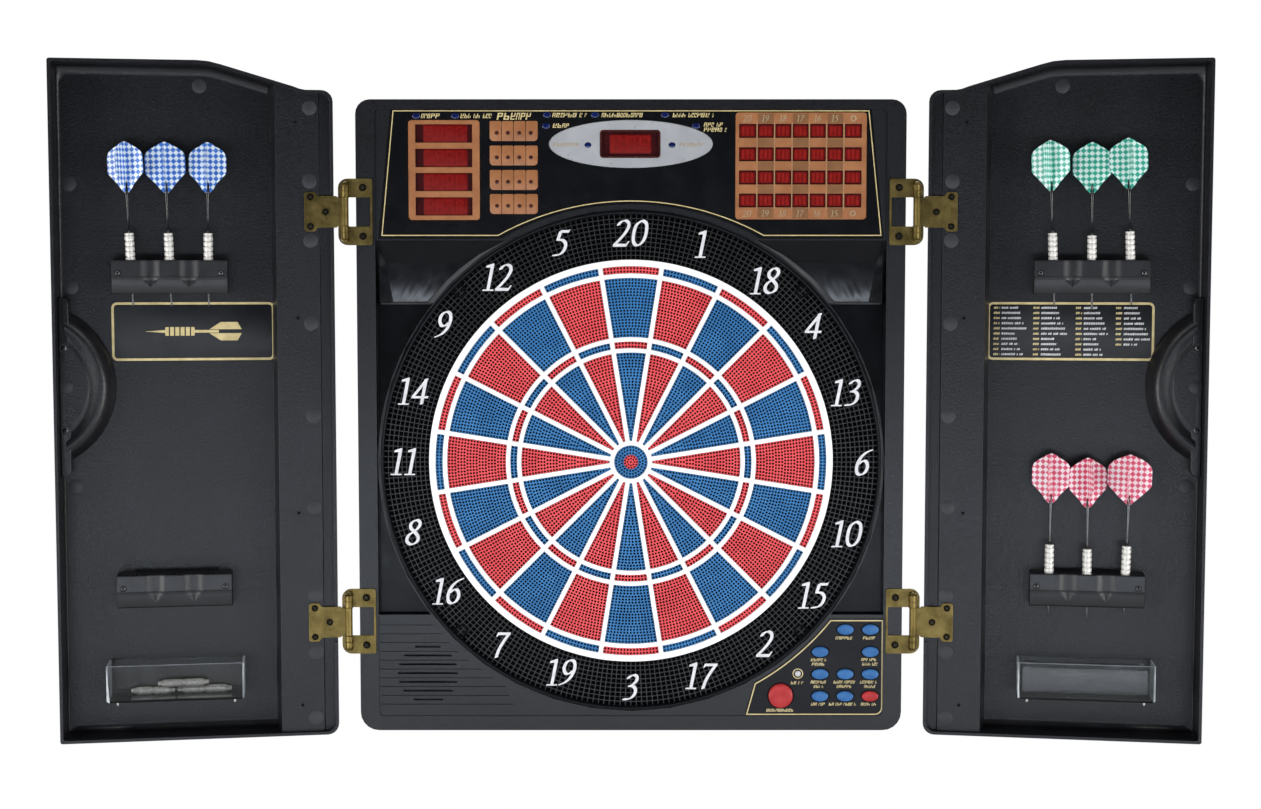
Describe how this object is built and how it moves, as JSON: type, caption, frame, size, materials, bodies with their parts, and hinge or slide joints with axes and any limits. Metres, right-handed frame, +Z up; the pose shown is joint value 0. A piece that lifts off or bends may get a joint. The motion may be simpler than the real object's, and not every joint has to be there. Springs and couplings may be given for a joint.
{
  "type": "electronic dartboard",
  "caption": "Wall-hung soft-tip electronic dartboard in a two-door cabinet, with a moulded sector target, score displays, a keypad, dart racks and clear bins.",
  "frame": {"origin": "centre of the target projected on the wall, on the back face of the rear housing", "axes": "+Z up, -Y out of the wall towards the player, +X to the player's right"},
  "size_m": [1.1048, 0.1061, 0.6517],
  "materials": {
    "rear_housing": "fine moulded grain, black",
    "front_housing": "fine moulded grain, black",
    "number_ring": "satin black",
    "target_spider": "white, satin",
    "rubber_mat": "matt black",
    "sensor_membrane": "clear film with printed tracks",
    "main_circuit_board": "green laminate",
    "display_circuit_board": "green laminate",
    "display_panel": "satin black",
    "control_panel": "satin black",
    "speaker": "black cone and frame",
    "power_inlet": "black",
    "score_display": "tan bezel with dark red windows",
    "centre_display": "pale grey bezel with a dark red window",
    "cricket_display": "tan bezel with dark red windows",
    "hinge_frame_leaf_left_upper": "antique, tarnished",
    "hinge_frame_leaf_left_lower": "antique, tarnished",
    "hinge_frame_leaf_right_upper": "antique, tarnished",
    "hinge_frame_leaf_right_lower": "antique, tarnished",
    "door_left": "fine moulded grain, black",
    "handle_cup_left": "satin black",
    "hinge_door_leaf_left_upper": "antique, tarnished",
    "hinge_door_leaf_left_lower": "antique, tarnished",
    "dart_rack_left_upper": "fine moulded grain, black",
    "dart_rack_left_lower": "fine moulded grain, black",
    "storage_bin_left": "clear moulded plastic",
    "door_right": "fine moulded grain, black",
    "handle_cup_right": "satin black",
    "hinge_door_leaf_right_upper": "antique, tarnished",
    "hinge_door_leaf_right_lower": "antique, tarnished",
    "dart_rack_right_upper": "fine moulded grain, black",
    "dart_rack_right_lower": "fine moulded grain, black",
    "storage_bin_right": "clear moulded plastic",
    "select_button": "blue gloss",
    "game_button": "blue gloss",
    "player_button": "blue gloss",
    "match_button": "blue gloss",
    "bounce_out_button": "blue gloss",
    "dart_out_button": "blue gloss",
    "double_button": "blue gloss",
    "sound_button": "blue gloss",
    "guard_button": "blue gloss",
    "power_button": "red gloss",
    "start_button": "red gloss",
    "reset_button": "grey",
    "double_segments": "red and blue keys, satin",
    "outer_single_segments": "red and blue keys, satin",
    "triple_segments": "red and blue keys, satin",
    "inner_single_segments": "red and blue keys, satin",
    "outer_bull": "blue, satin",
    "inner_bull": "red, satin",
    "dart_blue_1": "plastic dart, checked flights",
    "dart_blue_2": "plastic dart, checked flights",
    "dart_blue_3": "plastic dart, checked flights",
    "dart_green_1": "plastic dart, checked flights",
    "dart_green_2": "plastic dart, checked flights",
    "dart_green_3": "plastic dart, checked flights",
    "dart_red_1": "plastic dart, checked flights",
    "dart_red_2": "plastic dart, checked flights",
    "dart_red_3": "plastic dart, checked flights"
  },
  "bodies": {
    "cabinet": {"rear_housing": "rear_housing", "front_housing": "front_housing", "number_ring": "number_ring", "target_spider": "target_spider", "rubber_mat": "rubber_mat", "sensor_membrane": "sensor_membrane", "main_circuit_board": "main_circuit_board", "display_circuit_board": "display_circuit_board", "display_panel": "display_panel", "control_panel": "control_panel", "speaker": "speaker", "power_inlet": "power_inlet", "score_display": "score_display", "centre_display": "centre_display", "cricket_display": "cricket_display", "hinge_frame_leaf_left_upper": "hinge_frame_leaf_left_upper", "hinge_frame_leaf_left_lower": "hinge_frame_leaf_left_lower", "hinge_frame_leaf_right_upper": "hinge_frame_leaf_right_upper", "hinge_frame_leaf_right_lower": "hinge_frame_leaf_right_lower"},
    "door_left": {"door_left": "door_left", "handle_cup_left": "handle_cup_left", "hinge_door_leaf_left_upper": "hinge_door_leaf_left_upper", "hinge_door_leaf_left_lower": "hinge_door_leaf_left_lower", "dart_rack_left_upper": "dart_rack_left_upper", "dart_rack_left_lower": "dart_rack_left_lower", "storage_bin_left": "storage_bin_left"},
    "door_right": {"door_right": "door_right", "handle_cup_right": "handle_cup_right", "hinge_door_leaf_right_upper": "hinge_door_leaf_right_upper", "hinge_door_leaf_right_lower": "hinge_door_leaf_right_lower", "dart_rack_right_upper": "dart_rack_right_upper", "dart_rack_right_lower": "dart_rack_right_lower", "storage_bin_right": "storage_bin_right"},
    "select_button": {"select_button": "select_button"},
    "game_button": {"game_button": "game_button"},
    "player_button": {"player_button": "player_button"},
    "match_button": {"match_button": "match_button"},
    "bounce_out_button": {"bounce_out_button": "bounce_out_button"},
    "dart_out_button": {"dart_out_button": "dart_out_button"},
    "double_button": {"double_button": "double_button"},
    "sound_button": {"sound_button": "sound_button"},
    "guard_button": {"guard_button": "guard_button"},
    "power_button": {"power_button": "power_button"},
    "start_button": {"start_button": "start_button"},
    "reset_button": {"reset_button": "reset_button"},
    "double_segments": {"double_segments": "double_segments"},
    "outer_single_segments": {"outer_single_segments": "outer_single_segments"},
    "triple_segments": {"triple_segments": "triple_segments"},
    "inner_single_segments": {"inner_single_segments": "inner_single_segments"},
    "outer_bull": {"outer_bull": "outer_bull"},
    "inner_bull": {"inner_bull": "inner_bull"},
    "dart_blue_1": {"dart_blue_1": "dart_blue_1"},
    "dart_blue_2": {"dart_blue_2": "dart_blue_2"},
    "dart_blue_3": {"dart_blue_3": "dart_blue_3"},
    "dart_green_1": {"dart_green_1": "dart_green_1"},
    "dart_green_2": {"dart_green_2": "dart_green_2"},
    "dart_green_3": {"dart_green_3": "dart_green_3"},
    "dart_red_1": {"dart_red_1": "dart_red_1"},
    "dart_red_2": {"dart_red_2": "dart_red_2"},
    "dart_red_3": {"dart_red_3": "dart_red_3"}
  },
  "joints": [
    {"name": "door_left_swing", "type": "hinge", "parent": "cabinet", "child": "door_left", "pos_m": [-0.2756, -0.0595, 0], "axis": [0, 0, 1], "range_deg": [-9, 171]},
    {"name": "door_right_swing", "type": "hinge", "parent": "cabinet", "child": "door_right", "pos_m": [0.2756, -0.0595, 0], "axis": [0, 0, -1], "range_deg": [-9, 171]},
    {"name": "select_button_press", "type": "slide", "parent": "cabinet", "child": "select_button", "axis": [0, 1, 0], "range_m": [0, 0.002], "stiffness_N_per_m": 400},
    {"name": "game_button_press", "type": "slide", "parent": "cabinet", "child": "game_button", "axis": [0, 1, 0], "range_m": [0, 0.002], "stiffness_N_per_m": 400},
    {"name": "player_button_press", "type": "slide", "parent": "cabinet", "child": "player_button", "axis": [0, 1, 0], "range_m": [0, 0.002], "stiffness_N_per_m": 400},
    {"name": "match_button_press", "type": "slide", "parent": "cabinet", "child": "match_button", "axis": [0, 1, 0], "range_m": [0, 0.002], "stiffness_N_per_m": 400},
    {"name": "bounce_out_button_press", "type": "slide", "parent": "cabinet", "child": "bounce_out_button", "axis": [0, 1, 0], "range_m": [0, 0.002], "stiffness_N_per_m": 400},
    {"name": "dart_out_button_press", "type": "slide", "parent": "cabinet", "child": "dart_out_button", "axis": [0, 1, 0], "range_m": [0, 0.002], "stiffness_N_per_m": 400},
    {"name": "double_button_press", "type": "slide", "parent": "cabinet", "child": "double_button", "axis": [0, 1, 0], "range_m": [0, 0.002], "stiffness_N_per_m": 400},
    {"name": "sound_button_press", "type": "slide", "parent": "cabinet", "child": "sound_button", "axis": [0, 1, 0], "range_m": [0, 0.002], "stiffness_N_per_m": 400},
    {"name": "guard_button_press", "type": "slide", "parent": "cabinet", "child": "guard_button", "axis": [0, 1, 0], "range_m": [0, 0.002], "stiffness_N_per_m": 400},
    {"name": "power_button_press", "type": "slide", "parent": "cabinet", "child": "power_button", "axis": [0, 1, 0], "range_m": [0, 0.002], "stiffness_N_per_m": 400},
    {"name": "start_button_press", "type": "slide", "parent": "cabinet", "child": "start_button", "axis": [0, 1, 0], "range_m": [0, 0.003], "stiffness_N_per_m": 400},
    {"name": "reset_button_press", "type": "slide", "parent": "cabinet", "child": "reset_button", "axis": [0, 1, 0], "range_m": [0, 0.001], "stiffness_N_per_m": 400},
    {"name": "double_segments_press", "type": "slide", "parent": "cabinet", "child": "double_segments", "axis": [0, 1, 0], "range_m": [0, 0.001], "stiffness_N_per_m": 1500},
    {"name": "outer_single_segments_press", "type": "slide", "parent": "cabinet", "child": "outer_single_segments", "axis": [0, 1, 0], "range_m": [0, 0.001], "stiffness_N_per_m": 1500},
    {"name": "triple_segments_press", "type": "slide", "parent": "cabinet", "child": "triple_segments", "axis": [0, 1, 0], "range_m": [0, 0.001], "stiffness_N_per_m": 1500},
    {"name": "inner_single_segments_press", "type": "slide", "parent": "cabinet", "child": "inner_single_segments", "axis": [0, 1, 0], "range_m": [0, 0.001], "stiffness_N_per_m": 1500},
    {"name": "outer_bull_press", "type": "slide", "parent": "cabinet", "child": "outer_bull", "axis": [0, 1, 0], "range_m": [0, 0.001], "stiffness_N_per_m": 1500},
    {"name": "inner_bull_press", "type": "slide", "parent": "cabinet", "child": "inner_bull", "axis": [0, 1, 0], "range_m": [0, 0.001], "stiffness_N_per_m": 1500},
    {"name": "dart_blue_1_lift", "type": "slide", "parent": "door_left", "child": "dart_blue_1", "axis": [0, 0, 1], "range_m": [0, 0.05]},
    {"name": "dart_blue_2_lift", "type": "slide", "parent": "door_left", "child": "dart_blue_2", "axis": [0, 0, 1], "range_m": [0, 0.05]},
    {"name": "dart_blue_3_lift", "type": "slide", "parent": "door_left", "child": "dart_blue_3", "axis": [0, 0, 1], "range_m": [0, 0.05]},
    {"name": "dart_green_1_lift", "type": "slide", "parent": "door_right", "child": "dart_green_1", "axis": [0, 0, 1], "range_m": [0, 0.05]},
    {"name": "dart_green_2_lift", "type": "slide", "parent": "door_right", "child": "dart_green_2", "axis": [0, 0, 1], "range_m": [0, 0.05]},
    {"name": "dart_green_3_lift", "type": "slide", "parent": "door_right", "child": "dart_green_3", "axis": [0, 0, 1], "range_m": [0, 0.05]},
    {"name": "dart_red_1_lift", "type": "slide", "parent": "door_right", "child": "dart_red_1", "axis": [0, 0, 1], "range_m": [0, 0.05]},
    {"name": "dart_red_2_lift", "type": "slide", "parent": "door_right", "child": "dart_red_2", "axis": [0, 0, 1], "range_m": [0, 0.05]},
    {"name": "dart_red_3_lift", "type": "slide", "parent": "door_right", "child": "dart_red_3", "axis": [0, 0, 1], "range_m": [0, 0.05]}
  ]
}
